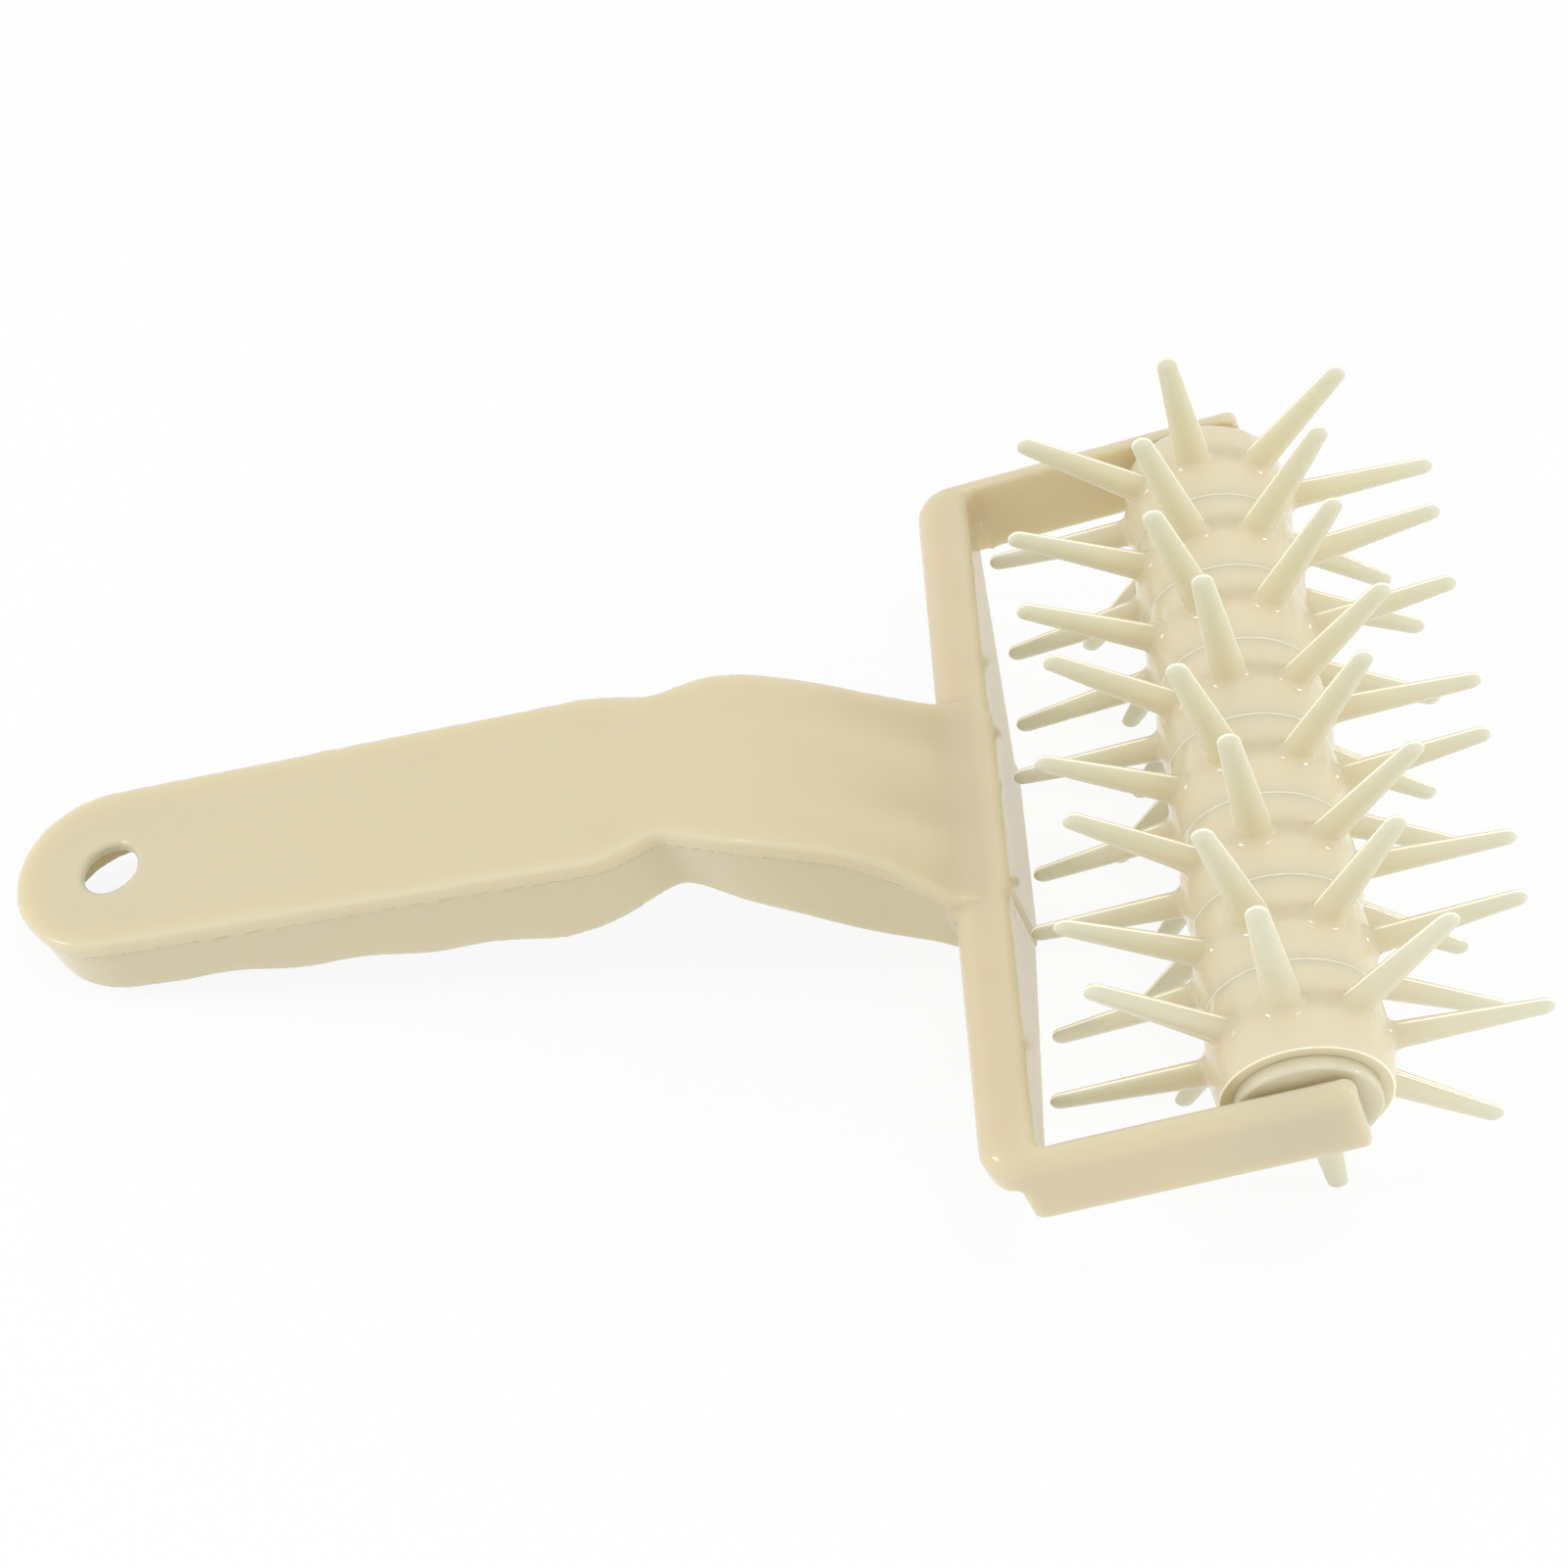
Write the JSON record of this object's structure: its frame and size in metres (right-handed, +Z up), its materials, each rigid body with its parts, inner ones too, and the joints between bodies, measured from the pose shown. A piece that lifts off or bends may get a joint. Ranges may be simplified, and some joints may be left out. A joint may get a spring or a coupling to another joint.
{
  "type": "dough docker",
  "caption": "Hand tool with a fork-ended plastic grip that carries a free-rolling drum of radiating blunt pins, for pricking rolled-out dough.",
  "frame": {"origin": "on the ground plane, in the middle of the tool's outline from above, as it rests on two rows of pins and the butt of its grip", "axes": "+X from the butt of the grip towards the roller, +Y along the roller's axis, +Z up"},
  "size_m": [0.2104, 0.127, 0.0653],
  "materials": {
    "grip_plastic": "moulded ivory plastic, glossy with a faint waviness",
    "roller_plastic": "moulded ivory plastic, glossy and slightly translucent"
  },
  "bodies": {
    "fork": {"frame": "grip_plastic"},
    "roller": {"spindle": "roller_plastic", "ring_1": "roller_plastic", "ring_2": "roller_plastic", "ring_3": "roller_plastic", "ring_4": "roller_plastic", "ring_5": "roller_plastic", "ring_6": "roller_plastic", "ring_7": "roller_plastic", "ring_8": "roller_plastic", "far_cap": "roller_plastic", "near_cap": "roller_plastic"}
  },
  "joints": [
    {"name": "roller_spin", "type": "hinge", "parent": "fork", "child": "roller", "pos_m": [0.07252, 0, 0.03267], "axis": [0, 1, 0], "continuous": true}
  ]
}
